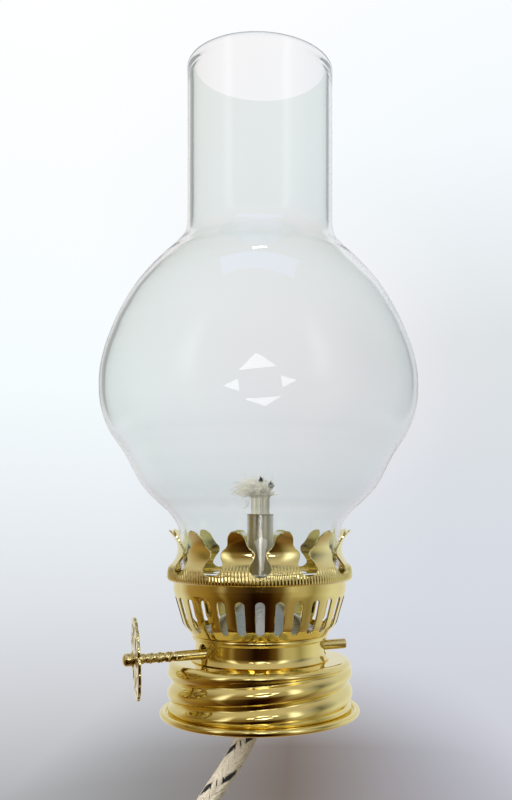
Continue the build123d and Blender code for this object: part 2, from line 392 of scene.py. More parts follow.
def clear_glass():
    """Glass that lets lamps through, and that isn't met again by what is mirrored behind it."""
    material, nodes = blank_material("clear_glass")
    shader = node(nodes, "BsdfPrincipled", IOR=1.46)
    shader.inputs["Base Color"].default_value = (1.0, 0.975, 0.983, 1)
    shader.inputs["Transmission Weight"].default_value = 1.0
    smears = noise_at(nodes, 45.0, 3.0)
    join(between(nodes, smears, 0.0, 0.03, 0.55, 0.8), shader.inputs["Roughness"])
    ripples = noise_at(nodes, 60.0, 1.0, (1, 1, 0.35))
    emboss(nodes, shader, ripples, 0.12, 0.4 * MM)
    tint = node(nodes, "VolumeAbsorption", Density=20.0)
    tint.inputs["Color"].default_value = (0.84, 0.97, 0.93, 1)
    rays = node(nodes, "LightPath")
    clear = node(nodes, "BsdfTransparent")
    clear.inputs["Color"].default_value = (0.93, 0.95, 0.94, 1)
    inside = maths(nodes, "GREATER_THAN", rays.outputs["Transmission Depth"], 1.5)
    mirrored = maths(nodes, "MULTIPLY", rays.outputs["Is Glossy Ray"], inside)
    passing = maths(nodes, "MAXIMUM", rays.outputs["Is Shadow Ray"], mirrored)
    surface = node(nodes, "MixShader")
    join(passing, surface.inputs["Fac"])
    join(shader.outputs["BSDF"], surface.inputs[1])
    join(clear.outputs["BSDF"], surface.inputs[2])
    output = show(nodes, surface.outputs["Shader"])
    join(tint.outputs["Volume"], output.inputs["Volume"])
    return material


def cotton(name, tints):
    """Spun cotton: soft, matt, with fine fibres and uneven colour."""
    material, nodes = blank_material(name)
    shader = node(nodes, "BsdfPrincipled", Roughness=0.92)
    shader.inputs["Sheen Weight"].default_value = 0.35
    shader.inputs["Sheen Roughness"].default_value = 0.5
    patches = noise_at(nodes, 1500.0, 4.0)
    colour = ramp(nodes, patches, [(0.3, tints[0]), (0.7, tints[1])])
    join(colour, shader.inputs["Base Color"])
    emboss(nodes, shader, noise_at(nodes, 4500.0, 2.0), 0.5, 0.08 * MM)
    show(nodes, shader.outputs["BSDF"])
    return material


def glow(name, colour, strength):
    material, nodes = blank_material(name)
    shader = node(nodes, "Emission", Strength=strength)
    shader.inputs["Color"].default_value = (*colour, 1)
    show(nodes, shader.outputs["Emission"])
    return material


POLISHED_BRASS = metal(
    "polished_brass", [(0.84, 0.70, 0.28), (0.89, 0.77, 0.36)], (0.04, 0.11), 0.05, (1, 1, 5),
)
KNURLED_BRASS = metal("knurled_brass", [(0.84, 0.73, 0.34), (0.89, 0.79, 0.42)], (0.07, 0.15), 0.08)
ROD_BRASS = metal("rod_brass", [(0.68, 0.57, 0.28), (0.84, 0.74, 0.42)], (0.10, 0.24), 0.2, (0.3, 1, 1))
TUBE_STEEL = metal("tube_steel", [(0.46, 0.45, 0.42), (0.80, 0.79, 0.75)], (0.20, 0.36), 0.5, (1, 1, 0.04))
DULL_STEEL = metal("dull_steel", [(0.55, 0.55, 0.55), (0.72, 0.72, 0.72)], (0.22, 0.38), 0.2)
GLASS = clear_glass()
CREAM = cotton("wick_cream", [(0.70, 0.64, 0.52), (0.90, 0.87, 0.79)])
# The same cream cotton, painted lighter to make up for the shade among the tuft's strands.
CREAM_PAINTED_LIGHTER = cotton("cream_painted_lighter", [(0.84, 0.80, 0.70), (0.95, 0.93, 0.87)])
TRACER = cotton("wick_tracer", [(0.006, 0.007, 0.012), (0.03, 0.032, 0.045)])


# Camera

CAMERA_AT = Vector((-54.3, -240.4, 57.0)) * MM
CAMERA_TURN = radians(-16)


def camera():
    data = bpy.data.cameras.new("camera")
    data.sensor_width = 36
    data.lens = 39.15
    data.shift_x = -0.0675
    data.shift_y = 0.139
    data.clip_start = 0.01
    data.clip_end = 30
    made = add("camera", data)
    made.location = CAMERA_AT
    made.rotation_euler = (radians(90), 0, CAMERA_TURN)
    bpy.context.scene.camera = made


# Wick

TAIL_ROUTE = [
    (0, 0, 0.0095), (0, 0, 0.0025), (-0.00231, 0.00066, -0.0041), (-0.00777, 0.00192, -0.0147),
    (-0.01563, 0.00355, -0.0262), (-0.02241, 0.00455, -0.0395), (-0.02667, 0.00494, -0.056),
    (-0.02762, 0.0049, -0.074), (-0.02598, 0.00516, -0.0919),
]
WICK_DIAMETER = 5.8 * MM
CARRIERS = 8
YARNS = 4
BRAID_LEAD = 26 * MM
BRAID_WAVE = 0.24 * MM
YARN_INSET = 0.24 * MM
YARN_RADIUS = 0.25 * MM


def tail_core():
    """The filling of the braid, along the route that part.py gives the wick."""
    curve = bpy.data.curves.new("wick_tail_core", "CURVE")
    curve.dimensions = "3D"
    spline = curve.splines.new("NURBS")
    spline.points.add(len(TAIL_ROUTE) - 1)
    for point, place in zip(spline.points, TAIL_ROUTE):
        point.co = (*place, 1)
    spline.order_u = 3
    spline.use_endpoint_u = True
    curve.resolution_u = 24
    core = add("wick_tail_core", curve)
    line = bpy.data.meshes.new_from_object(core)
    path = [v.co.copy() for v in line.vertices]
    curve.bevel_depth = 0.82 * WICK_DIAMETER / 2
    curve.bevel_resolution = 6
    curve.use_fill_caps = True
    curve.materials.append(CREAM)
    settle(core, "wick", ["wick_tail"])
    return core, path


def frames_along(path):
    """(point, side, other side) along a path, without twist."""
    side = Vector((1, 0, 0))
    out = []
    for i, point in enumerate(path):
        ahead = (path[min(i + 1, len(path) - 1)] - path[max(i - 1, 0)]).normalized()
        side = (side - ahead * side.dot(ahead)).normalized()
        out.append((point, side, ahead.cross(side)))
    return out


def braid_yarn(frames, step, way, carrier, offset):
    """One yarn of a two-over, two-under braid. way is 1 or -1, the way that its carrier goes round."""
    path = []
    for i, (point, side, other) in enumerate(frames):
        along = i * step
        angle = TURN * (carrier / CARRIERS + way * along / BRAID_LEAD) + offset
        over = way * cos(pi / 2 * (2 * CARRIERS * angle / TURN + 0.5))
        radius = WICK_DIAMETER / 2 - YARN_INSET - BRAID_WAVE * (1 - over) / 2
        path.append(point + (side * cos(angle) + other * sin(angle)) * radius)
    return path


def braid(path):
    step = 0.45 * MM
    frames = frames_along(evenly(path, step))
    made = []
    tracers = {(1, 1), (1, 5)}
    yarn_gap = radians(8.4)
    for dark in (False, True):
        shape = Shape()
        for way in (1, -1):
            for carrier in range(CARRIERS):
                if ((way, carrier) in tracers) != dark:
                    continue
                for yarn in range(YARNS):
                    offset = (yarn - (YARNS - 1) / 2) * yarn_gap
                    strand = braid_yarn(frames, step, way, carrier, offset)
                    shape.tube(strand, YARN_RADIUS, 6)
        name = "wick_tail_tracers" if dark else "wick_tail_braid"
        material = TRACER if dark else CREAM
        made.append(piece_from(name, shape, material, "wick", (), 60))
    return made


def scatter(rng, size):
    """A vector in a random direction."""
    return Vector([rng.gauss(0, size) for _ in range(3)])


def stray_hairs(path):
    """Fine fibres that stand off the braid."""
    rng = random.Random(4)
    shape = Shape()
    frames = frames_along(evenly(path, 0.5 * MM))
    for _ in range(150):
        point, side, other = rng.choice(frames[12:-4])
        angle = rng.uniform(0, TURN)
        out = side * cos(angle) + other * sin(angle)
        drift = scatter(rng, 1) * 0.9 * MM
        hair = [point + out * (WICK_DIAMETER / 2 - 0.3 * MM)]
        length = rng.uniform(0.8, 2.2) * MM
        for _ in range(6):
            drift = drift + scatter(rng, 1) * 0.35 * MM
            hair.append(hair[-1] + (out * 0.45 * length + drift) / 6)
        shape.tube(hair, 0.018 * MM, 3)
    return piece_from("wick_tail_hairs", shape, CREAM, "wick", ())


def wick_tail():
    core, path = tail_core()
    on_it = braid(path) + [stray_hairs(path)]


TUFT_RADIUS = 2.6 * MM
TUFT_FOOT = TUBE_TOP - 0.8 * MM
UPRIGHT = 3.5 * MM


def tuft_strand(rng, lean, length, curl):
    """A fibre that stays upright as far as the wick can sink into the tube, then droops to one side."""
    angle = rng.uniform(0, TURN)
    place = TUFT_RADIUS * rng.random() ** 0.5
    point = Vector((place * cos(angle), place * sin(angle), TUFT_FOOT))
    heading = Vector((0, 0, 1))
    outward = Vector((cos(angle), sin(angle), 0)) * rng.uniform(0.0, 0.5)
    path = [point, point + Vector((0, 0, UPRIGHT))]
    steps = 10
    for i in range(steps):
        share = i / steps
        wander = scatter(rng, 1) * curl
        heading = (heading + (lean + outward) * share * 0.55 + wander).normalized()
        path.append(path[-1] + heading * length / steps)
    return path


def wick_tuft():
    """The frayed end of the wick: a brush of cotton strands that leans to the left, with stray fibres."""
    rng = random.Random(11)
    shape = Shape()
    # How many strands, their lean to the right and its spread, lengths and radii in millimetres, and droop
    bunches = (
        (270, -0.20, 0.30, (2.2, 6.0), (0.10, 0.17), 0.2),
        (300, -1.45, 0.50, (4.5, 9.5), (0.06, 0.11), 1.3),
    )
    for count, aim, spread, lengths, widths, droop in bunches:
        for _ in range(count):
            lean = Vector((rng.gauss(aim, spread), rng.gauss(0.0, 0.30), -droop * rng.random()))
            strand = tuft_strand(rng, lean, rng.uniform(*lengths) * MM, 0.16)
            thick = rng.uniform(*widths) * MM
            shape.tube(strand, [thick * (1 - 0.6 * i / 11) for i in range(12)], 4)
    for _ in range(260):
        lean = Vector((rng.gauss(-0.9, 0.7), rng.gauss(0.0, 0.5), 0))
        strand = tuft_strand(rng, lean, rng.uniform(5, 10.5) * MM, 0.3)
        shape.tube(strand, 0.022 * MM, 3)
    lowest = low("wick_tuft") - Vector((6, 4, 0)) * MM
    highest = high("wick_tuft") + Vector((3, 4, 3)) * MM
    shape.verts = [Vector([min(max(v[k], lowest[k]), highest[k]) for k in range(3)]) for v in shape.verts]
    # The brush's cotton is painted lighter than the tail's cream, against the shade between its strands.
    piece_from("wick_brush", shape, CREAM_PAINTED_LIGHTER, "wick", ["wick_tuft"])
    dark = Shape()
    for x, y, z in ((-0.4, -1.9, 65.0), (2.4, -1.8, 63.4)):
        for _ in range(26):
            foot = Vector((x, y, z)) * MM + scatter(rng, 0.22) * MM
            reach = Vector((rng.gauss(0.35, 0.3), rng.gauss(-0.1, 0.3), rng.gauss(0.7, 0.35)))
            tip = foot + reach * MM
            dark.tube([foot, foot.lerp(tip, 0.5), tip], 0.11 * MM, 5)
    piece_from("wick_brush_tracers", dark, TRACER, "wick", ())


# Chimney

GLASS_WALL = 1.6 * MM


def chimney():
    """Blown glass, a little uneven, with fire-polished rims."""
    top = high("chimney").z
    bottom = low("chimney").z
    knots = [
        (22.6, bottom / MM + 1.2), (22.6, 44.0), (22.6, 48.2), (22.65, 50.6), (23.3, 53.4), (25.6, 56.8),
        (29.4, 60.2), (32.8, 64.0), (35.6, 69.0), (37.4, 72.6), (39.4, 75.6), (41.4, 78.6), (43.1, 82.6),
        (44.1, 87.0), (44.38, 91.4), (44.1, 96.2), (43.0, 101.2), (41.5, 105.6), (39.3, 110.8), (35.8, 117.1),
        (32.2, 122.0), (28.3, 126.3), (25.0, 129.5), (22.2, 132.6), (20.9, 135.2), (20.42, 138.0),
        (20.35, 142.0), (20.35, 150.0), (20.35, 165.0), (20.35, 176.0), (20.45, top / MM - 1.1),
    ]
    outer = evenly(smooth_through([Vector(k) * MM for k in knots], 12), 0.7 * MM)
    inner = []
    for point, left in zip(outer, lefts(outer)):
        thick_rim = smooth_step(point.y, top - 4 * MM, top - 1 * MM)
        inner.append(point + left * (GLASS_WALL + 0.3 * MM * thick_rim))
    loop = outer + half_ring(outer[-1], inner[-1]) + inner[::-1] + half_ring(inner[0], outer[0])
    shape = Shape()
    shape.spin(loop, 288, glass_ripple)
    piece_from("chimney_glass", shape, GLASS, "glass", ["chimney"], 80)


def half_ring(start, end):
    """Points of the half circle that turns from start to end, going left."""
    centre = (start + end) / 2
    count = 9
    return [centre + turned(start - centre, pi * i / count) for i in range(1, count)]


def glass_ripple(angle, radius, height):
    """Blown glass isn't quite round, and its wall isn't quite even."""
    place = Vector((cos(angle) * 1.3, sin(angle) * 1.3, height / (34 * MM)))
    return noise.noise(place) * 0.16 * MM * (radius / (44 * MM)) ** 2


# Brass

THREAD_DEPTH = 1.75 * MM


def helix_groove(angle, height):
    """How far the cap's rolled thread sinks. It has two starts, and rises from the left round the front."""
    spacing = 5.9 * MM
    start = CAP_TOP - 5.75 * MM
    round_from_left = ((angle - LEFT) / TURN) % 1
    phase = (height - start - 2 * spacing * round_from_left) / spacing
    sunk = 1 - (sin(pi * phase) ** 2 + 0.012) ** 0.42
    fade_in = smooth_step(height, 2.2 * MM, 4.0 * MM)
    fade_out = 1 - smooth_step(height, CAP_TOP - 2.7 * MM, CAP_TOP - 0.9 * MM)
    return THREAD_DEPTH * sunk * fade_in * fade_out


def smooth_step(value, start, end):
    """0 up to the start, 1 from the end on, and a smooth rise between."""
    t = max(0, min(1, (value - start) / (end - start)))
    return t * t * (3 - 2 * t)


def screw_cap():
    """A round shoulder, a rolled thread, a gutter and a rolled rim."""
    wall = 26.0 * MM
    path = rounded(
        [
            (16.6 * MM, CAP_TOP), (wall - 0.35 * MM, CAP_TOP), (wall, CAP_TOP - 4 * MM), (wall, 3.6 * MM),
            (25.5 * MM, 0.75 * MM), (26.7 * MM, 0.75 * MM),
        ],
        [2.1 * MM, 3 * MM, 1.4 * MM, 0.4 * MM],
        0.22 * MM,
    )
    loop = sheet_loop(path[::-1], SHEET)
    shape = Shape()
    shape.spin(loop, 420, lambda angle, radius, height: -helix_groove(angle, height) * (radius > 22 * MM))
    bead = 0.95 * MM
    middle = Vector((radius_of("screw_cap") - bead, bead))
    ring = [middle + Vector((cos(TURN * i / 28), sin(TURN * i / 28))) * bead for i in range(28)]
    shape.spin(ring, 420)
    piece_from("cap_spun", shape, POLISHED_BRASS, "burner", ["screw_cap"], 60)


def hole_rim(count_across, count_up, half_width, half_height):
    """Points round a hole with round ends, in the same order as a rectangle's edge with as many steps."""
    straight = half_height - half_width
    lean = radians(8) if straight > 0 else radians(45)
    rim = []
    for i in range(count_across):
        angle = pi + lean + (pi - 2 * lean) * i / count_across
        rim.append((half_width * cos(angle), half_width * sin(angle) - straight))
    low_end = half_width * sin(lean)
    for i in range(count_up):
        if straight > 0:
            share = i / count_up
            height = -straight - low_end + 2 * (straight + low_end) * share
            rim.append((half_width * (cos(lean) if i == 0 else 1), height))
        else:
            angle = -lean + 2 * lean * i / count_up
            rim.append((half_width * cos(angle), half_width * sin(angle)))
    return rim + [(-x, -y) for x, y in rim]


def box_rim(count_across, count_up, left, right, bottom, top):
    """Points round a rectangle, from its lower left corner, going right."""
    wide = right - left
    tall = top - bottom
    rim = [(left + wide * i / count_across, bottom) for i in range(count_across)]
    rim += [(right, bottom + tall * i / count_up) for i in range(count_up)]
    rim += [(right - wide * i / count_across, top) for i in range(count_across)]
    rim += [(left, top - tall * i / count_up) for i in range(count_up)]
    return rim


class PiercedShell:
    """A spun sheet with holes through it, as one closed mesh."""

    def __init__(self, path, count_up):
        self.path = path
        self.normals = lefts(path)
        self.lengths = distances(path)
        self.band = (0, 0)
        self.count_up = count_up
        self.shape = Shape()

    def at(self, angle, along, depth):
        """A point of the sheet: along its path, round the axis, and so deep below its outer face."""
        lengths = self.lengths
        k = 0
        while k < len(lengths) - 2 and lengths[k + 1] < along:
            k += 1
        share = (along - lengths[k]) / (lengths[k + 1] - lengths[k])
        sunk = self.normals[k].lerp(self.normals[k + 1], share) * depth
        place = self.path[k].lerp(self.path[k + 1], share) + sunk
        return polar(place.x, angle, place.y)

    def faces_of(self, angles, stations):
        """The outer and the inner face of a stretch."""
        for depth in (0.0, SHEET):
            self.shape.grid([[self.at(angle, along, depth) for along in stations] for angle in angles])

    def plain(self, angles):
        """A stretch with no hole."""
        bottom, top = self.band
        stations = [bottom + (top - bottom) * i / self.count_up for i in range(self.count_up + 1)]
        self.faces_of(angles, stations)
        self.ends(angles)

    def ends(self, angles):
        """The sheet past the band, and its two cut edges."""
        bottom, top = self.band
        below = [a for a in self.lengths if a < bottom - 1e-6] + [bottom]
        above = [top] + [a for a in self.lengths if a > top + 1e-6]
        self.faces_of(angles, below)
        self.faces_of(angles, above)
        for along in (self.lengths[0], self.lengths[-1]):
            self.shape.grid([[self.at(angle, along, 0.0), self.at(angle, along, SHEET)] for angle in angles])

    def pierced(self, angles, hole_angle, hole_along, rim, round_at):
        """A stretch with a hole. rim holds (across, along) in metres from the hole's centre."""
        bottom, top = self.band
        edge = 0.1 * MM
        box = box_rim(
            len(angles) - 1, self.count_up, (angles[0] - hole_angle) * round_at,
            (angles[-1] - hole_angle) * round_at, bottom - hole_along, top - hole_along,
        )
        shares = (1, 0.72, 0.45, 0.22, 0.08, 0.0)
        rings = [(share, edge, 0.0) for share in shares]
        rings += [(0, 0, edge), (0, 0, SHEET - edge)]
        rings += [(share, edge, SHEET) for share in shares[::-1]]
        rows = [self.ring(rim, box, hole_angle, hole_along, round_at, *place) for place in rings]
        self.shape.grid(rows, closed_columns=True)
        self.ends(angles)

    def ring(self, rim, box, hole_angle, hole_along, round_at, share, grow, depth):
        """Points a share of the way from the hole's rim, grown by so much, to the box round it."""
        out = []
        for (x, y), (u, v) in zip(rim, box):
            size = hypot(x, y)
            x += x / size * grow
            y += y / size * grow
            across = x + (u - x) * share
            along = y + (v - y) * share
            out.append(self.at(hole_angle + across / round_at, hole_along + along, depth))
        return out

    def along_at(self, height):
        """How far along the path it first reaches a height."""
        for k in range(len(self.path) - 1):
            a, b = self.path[k], self.path[k + 1]
            if (a.y - height) * (b.y - height) <= 0 and a.y != b.y:
                step = self.lengths[k + 1] - self.lengths[k]
                return self.lengths[k] + step * (height - a.y) / (b.y - a.y)


SLOTS = 28
SLOT_WIDTH = 2.4 * MM
SLOT_LOW = 24.4 * MM
SLOT_HIGH = 33.6 * MM


def vent_basket():
    """A spun bowl with a row of upright slots. Its top flange is the chimney's seat."""
    floor = FLOOR_OF_BASKET
    wall = radius_of("vent_basket")
    path = rounded(
        [
            (15.4 * MM, floor), (19.3 * MM, floor), (21.7 * MM, floor + 3.2 * MM), (wall, 35.0 * MM),
            (wall, SEAT), (21.3 * MM, SEAT), (21.3 * MM, SEAT - 1.3 * MM), (19.4 * MM, SEAT - 1.3 * MM),
        ],
        [1.2 * MM, 3.0 * MM, 6.0 * MM, 0.8 * MM, 0.6 * MM, 0.3 * MM],
    )
    shell = PiercedShell(path, 14)
    low_along = shell.along_at(SLOT_LOW)
    high_along = shell.along_at(SLOT_HIGH)
    shell.band = (low_along - 0.7 * MM, high_along + 1.2 * MM)
    middle = (low_along + high_along) / 2
    columns = 12
    rim = hole_rim(columns, shell.count_up, SLOT_WIDTH / 2, (high_along - low_along) / 2)
    pitch = TURN / SLOTS
    for i in range(SLOTS):
        centre = FRONT + i * pitch
        angles = [centre + pitch * (j / columns - 0.5) for j in range(columns + 1)]
        shell.pierced(angles, centre, middle, rim, 23.0 * MM)
    piece_from(
        "basket_pierced", shell.shape, POLISHED_BRASS, "burner", ["vent_basket"], 50,
    )


def burner_sleeve():
    """A short drum with a bead at its top and a flared foot, and a hole on each side for the shaft."""
    wall = 18.3 * MM
    bead = radius_of("burner_sleeve") - 0.26 * MM
    path = rounded(
        [
            (19.36 * MM, CAP_TOP + 0.27 * MM), (wall, CAP_TOP + 1.75 * MM),
            (wall, FLOOR_OF_BASKET - 1.4 * MM), (bead, FLOOR_OF_BASKET - 1.4 * MM),
            (bead, FLOOR_OF_BASKET), (15.4 * MM, FLOOR_OF_BASKET),
        ],
        [1.2 * MM, 0.2 * MM, 0.55 * MM, 0.6 * MM],
        0.3 * MM,
    )
    hole = 2.15 * MM
    shell = PiercedShell(path, 12)
    centre_along = shell.along_at(SHAFT_CENTRE.z)
    shell.band = (centre_along - hole - 0.35 * MM, centre_along + hole + 0.3 * MM)
    side = atan2(-SHAFT_CENTRE.y, (wall**2 - SHAFT_CENTRE.y**2) ** 0.5)
    reach = radians(11)
    columns = 16
    rim = hole_rim(columns, shell.count_up, hole, hole)
    rim = [(x / cos(side), y) for x, y in rim]
    for centre in (LEFT + side, TURN - side):
        angles = [centre + reach * (2 * i / columns - 1) for i in range(columns + 1)]
        shell.pierced(angles, centre, centre_along, rim, wall)
    front = (LEFT + side + reach, TURN - side - reach, 90)
    back = (-side + reach, LEFT + side - reach, 150)
    for start, end, count in (front, back):
        shell.plain([start + (end - start) * i / count for i in range(count + 1)])
    piece_from(
        "sleeve_drum", shell.shape, POLISHED_BRASS, "burner", ["burner_sleeve"], 50,
    )


PRONGS = 12
KNURLS = 176
CROWN_TURN = radians(2.4)
CROWN_FOOT = low("prong_crown").z
SCALLOP = 3.15 * MM
SCALLOP_CENTRE = 5.5 * MM
PRONG_FOOT = 4.7 * MM
TIP_START = 12.8 * MM
PRONG_TIP = 14.0 * MM
KNURL_DEPTH = 0.24 * MM


def crown_radius(height):
    """The crown's outer radius at a height above its foot. The prongs lean in, then curl out."""
    knots = [
        (0, 25.25), (0.3, 25.62), (0.9, 25.85), (2.5, 25.8), (3.7, 25.55), (4.7, 24.85), (5.9, 24.0),
        (7.1, 23.4), (8.1, 23.15), (9.1, 23.12), (10.1, 23.3), (11.1, 23.7), (12.1, 24.35), (13.0, 25.05),
        (14.0, 25.95),
    ]
    return curve_at(knots, height)


def prong_half_width(height):
    """Half the width of a prong's outline: a bell, a waist and a round tip."""
    knots = [
        (4.7, 3.8), (5.9, 4.1), (7.1, 4.95), (8.1, 5.15), (8.9, 4.7), (9.7, 3.6), (10.5, 2.95),
        (11.3, 2.7), (12.1, 2.45), (12.8, 2.05), (13.3, 1.6), (13.7, 1.05), (14.0, 0.02),
    ]
    return curve_at(knots, height)


CURVES = {}


def curve_at(knots, height):
    """The value of a smooth curve through (height, value) knots, in millimetres, at a height in metres."""
    key = tuple(knots)
    if key not in CURVES:
        CURVES[key] = smooth_through(knots, 8)
    line = CURVES[key]
    h = height / MM
    for a, b in zip(line, line[1:]):
        if h <= b.x:
            break
    share = max(0, min(1, (h - a.x) / (b.x - a.x)))
    return (a.y + (b.y - a.y) * share) * MM


def crown_half_width(height):
    """Half the width of a twelfth of the crown: the whole band, what the scallops leave, then a prong."""
    half_pitch = pi * radius_of("prong_crown") / PRONGS
    if height <= SCALLOP_CENTRE - SCALLOP:
        return half_pitch
    if height < PRONG_FOOT:
        return half_pitch - (SCALLOP**2 - (SCALLOP_CENTRE - height) ** 2) ** 0.5
    return prong_half_width(height)


def knurl(angle, height):
    """The ridges rolled into the crown's band. They fade out at the foot of the prongs."""
    phase = KNURLS * (angle + 0.08 * height / (25 * MM))
    ridge = cos(phase) / 2
    fade = smooth_step(height, 0.1 * MM, 1.0 * MM) * (1 - smooth_step(height, 4.3 * MM, 4.8 * MM))
    return KNURL_DEPTH * ridge * fade


def crown_point(centre, across, height, half, depth):
    """A point of the sheet: across the twelfth round the centre angle, and so deep below the face."""
    angle = centre + across / radius_of("prong_crown")
    radius = crown_radius(height)
    step = 0.05 * MM
    slope = (crown_radius(height + step) - crown_radius(height - step)) / (2 * step)
    tilt = 1 / hypot(1, slope)
    if depth:
        return polar(radius - depth * tilt, angle, CROWN_FOOT + height + slope * tilt * depth)
    worn = max(0, 1 - (half - abs(across)) / (0.12 * MM)) * 0.08 * MM
    return polar(radius + (knurl(angle, height) - worn) * tilt, angle, CROWN_FOOT + height)


def prong_crown():
    """A knurled band with twelve spring prongs that grip the chimney's foot."""
    band_top = SCALLOP_CENTRE - SCALLOP
    heights = [band_top * i / 9 for i in range(9)]
    solid_rows = len(heights)
    heights += [SCALLOP_CENTRE - SCALLOP * cos(radians(75) * i / 14) for i in range(14)]
    heights += [PRONG_FOOT + (TIP_START - PRONG_FOOT) * i / 26 for i in range(26)]
    heights += [TIP_START + (PRONG_TIP - TIP_START) * sin(pi / 2 * i / 10) for i in range(11)]
    columns = 96
    sheet = 0.45 * MM
    shape = Shape()
    for k in range(PRONGS):
        centre = CROWN_TURN + TURN * k / PRONGS
        sides = []
        for depth in (0, sheet):
            rows = []
            for height in heights:
                half = crown_half_width(height)
                steps = [half * (2 * j / columns - 1) for j in range(columns + 1)]
                rows.append([crown_point(centre, across, height, half, depth) for across in steps])
            shape.grid(rows)
            sides.append(rows)
        outer, inner = sides
        for edge in (0, -1):
            shape.grid([[o[edge], i[edge]] for o, i in zip(outer[solid_rows:], inner[solid_rows:])])
        shape.grid([outer[0], inner[0]])
        shape.grid([outer[-1], inner[-1]])
    piece_from("crown_prongs", shape, KNURLED_BRASS, "burner", ["prong_crown"], 45)


# Wick tube and raiser


def wick_tube():
    """A drawn steel tube with a thin lip turned out at its top."""
    bottom = low("wick_tube").z
    outer = 3.7 * MM
    bore = 3.1 * MM
    lip = high("wick_tube").x
    corners = [
        (bore, bottom), (outer, bottom), (outer, TUBE_TOP - 0.5 * MM), (lip, TUBE_TOP - 0.32 * MM),
        (lip, TUBE_TOP), (bore, TUBE_TOP), (bore, bottom),
    ]
    radii = [0.1 * MM, 0.15 * MM, 0.08 * MM, 0.1 * MM, 0.12 * MM]
    loop = rounded(corners, radii, 0.8 * MM)[:-1]
    shape = Shape()
    shape.spin(loop, 96)
    piece_from("tube_drawn", shape, TUBE_STEEL, "burner", ["wick_tube"], 50)


def along_shaft(x, angle, radius):
    """A point round the shaft's axis, at a place along X."""
    centre = SHAFT_CENTRE + SHAFT_LINE * (x / SHAFT_LINE.x)
    up = Vector((-SHAFT_LINE.z, 0, SHAFT_LINE.x))
    across = SHAFT_LINE.cross(up)
    return centre + (up * cos(angle) + across * sin(angle)) * radius


def wick_shaft():
    """A drawn rod. Its outer stretch is crimped, where the hand wheel's end was gripped."""
    start = low("wick_shaft").x + 0.1 * MM
    end = high("wick_shaft").x
    radius = 1.4 * MM
    stations = [start + (end - start) * i / 420 for i in range(421)]
    rows = []
    angles = [TURN * j / 40 for j in range(40)]
    for x in stations:
        near_end = min(1, (end - x) / (0.3 * MM))
        size = radius * (0.8 + 0.2 * (1 - (1 - max(0, near_end)) ** 2) ** 0.5)
        rows.append([along_shaft(x, angle, size + crimp(x, angle)) for angle in angles])
    shape = Shape()
    shape.rod(rows)
    piece_from("shaft_rod", shape, ROD_BRASS, "raiser", ["wick_shaft"], 50)


def crimp(x, angle):
    """How far the shaft's outer stretch swells or sinks."""
    from_wheel = (x - high("hand_wheel").x) / MM
    share = smooth_step(from_wheel, 0.4, 1.2) * (1 - smooth_step(from_wheel, 9.2, 10.4))
    wave = sin(from_wheel * 2.6 + 1.7 * sin(angle)) * 0.12 + sin(from_wheel * 6.1 + 3 * angle) * 0.06
    return share * (wave - 0.08) * MM


def hand_wheel():
    """A thin pierced disc: a scalloped rim, petals round the hub and pinholes between."""
    curve = bpy.data.curves.new("wheel_pierced", "CURVE")
    curve.dimensions = "2D"
    curve.fill_mode = "BOTH"
    petals = 8
    rim = []
    for i in range(320):
        angle = TURN * i / 320
        rim.append(polar(10.55 * MM + 0.6 * MM * abs(cos(petals * angle)) ** 0.7, angle, 0))
    outline(curve, rim)
    outline(curve, [polar(1.45 * MM, -TURN * i / 40, 0) for i in range(40)])
    for i in range(petals):
        turn = TURN * i / petals
        outline(curve, petal(turn, 3.4 * MM, 9.1 * MM, 1.25 * MM))
        centre = polar(9.0 * MM, turn + pi / petals, 0)
        outline(curve, [centre + polar(0.75 * MM, -TURN * k / 24, 0) for k in range(24)])
    half = 0.38 * MM
    edge = 0.12 * MM
    curve.extrude = half - edge
    curve.bevel_depth = edge
    curve.bevel_resolution = 3
    curve.offset = -edge
    curve.materials.append(ROD_BRASS)
    wheel = add("wheel_pierced", curve)
    middle = (low("hand_wheel").x + high("hand_wheel").x) / 2
    centre = SHAFT_CENTRE + SHAFT_LINE * (middle / SHAFT_LINE.x)
    turn = SHAFT_LINE.to_track_quat("Z", "Y").to_matrix().to_4x4()
    wheel.matrix_world = Matrix.Translation(centre) @ turn
    settle(wheel, "raiser", ["hand_wheel"])


def outline(curve, points):
    """Add a closed outline to a curve."""
    spline = curve.splines.new("POLY")
    spline.points.add(len(points) - 1)
    for point, place in zip(spline.points, points):
        point.co = (*place, 1)
    spline.use_cyclic_u = True


def petal(turn, near, far, half_width):
    """A pointed window that widens outwards, drawn clockwise."""
    points = []
    for i in range(25):
        share = i / 24
        reach = near + (far - near) * share
        width = half_width * (sin(pi * share**1.35) ** 0.75 if 0 < share < 1 else 0)
        points.append((reach, width))
    loop = points + [(x, -y) for x, y in points[-2:0:-1]]
    return [polar(hypot(x, y), turn + atan2(y, x), 0) for x, y in loop]


def hand_wheel_nut():
    """The riveted end of the shaft, and the washer behind it."""
    outer = low("hand_wheel_nut").x
    face = low("hand_wheel").x + 0.15 * MM
    outline_points = [
        (face, 2.1), (face - 0.42 * MM, 2.1), (face - 0.5 * MM, 1.75), (face - 0.7 * MM, 1.72),
        (outer + 0.9 * MM, 1.7), (outer + 0.3 * MM, 1.3), (outer, 0.6),
    ]
    line = smooth_through([Vector((x, r * MM)) for x, r in outline_points], 6)
    angles = [TURN * j / 36 for j in range(36)]
    shape = Shape()
    shape.rod([[along_shaft(p.x, angle, max(p.y, 0.05 * MM)) for angle in angles] for p in line])
    piece_from("rivet_end", shape, ROD_BRASS, "raiser", ["hand_wheel_nut"], 50)


def finish_cad_nodes():
    """The cone and strap in the basket, the toothed wheel and the wick's core keep their CAD shape."""
    for name in ("tube_cone", "shaft_bracket", "wick_wheel", "wick_core"):
        for mesh_slot in frame["nodes"][name].material_slots:
            mesh_slot.material = CREAM if name == "wick_core" else DULL_STEEL


# Stage

BACKDROP_RADIUS = 1.3
BACKDROP_HEIGHT = 1.6


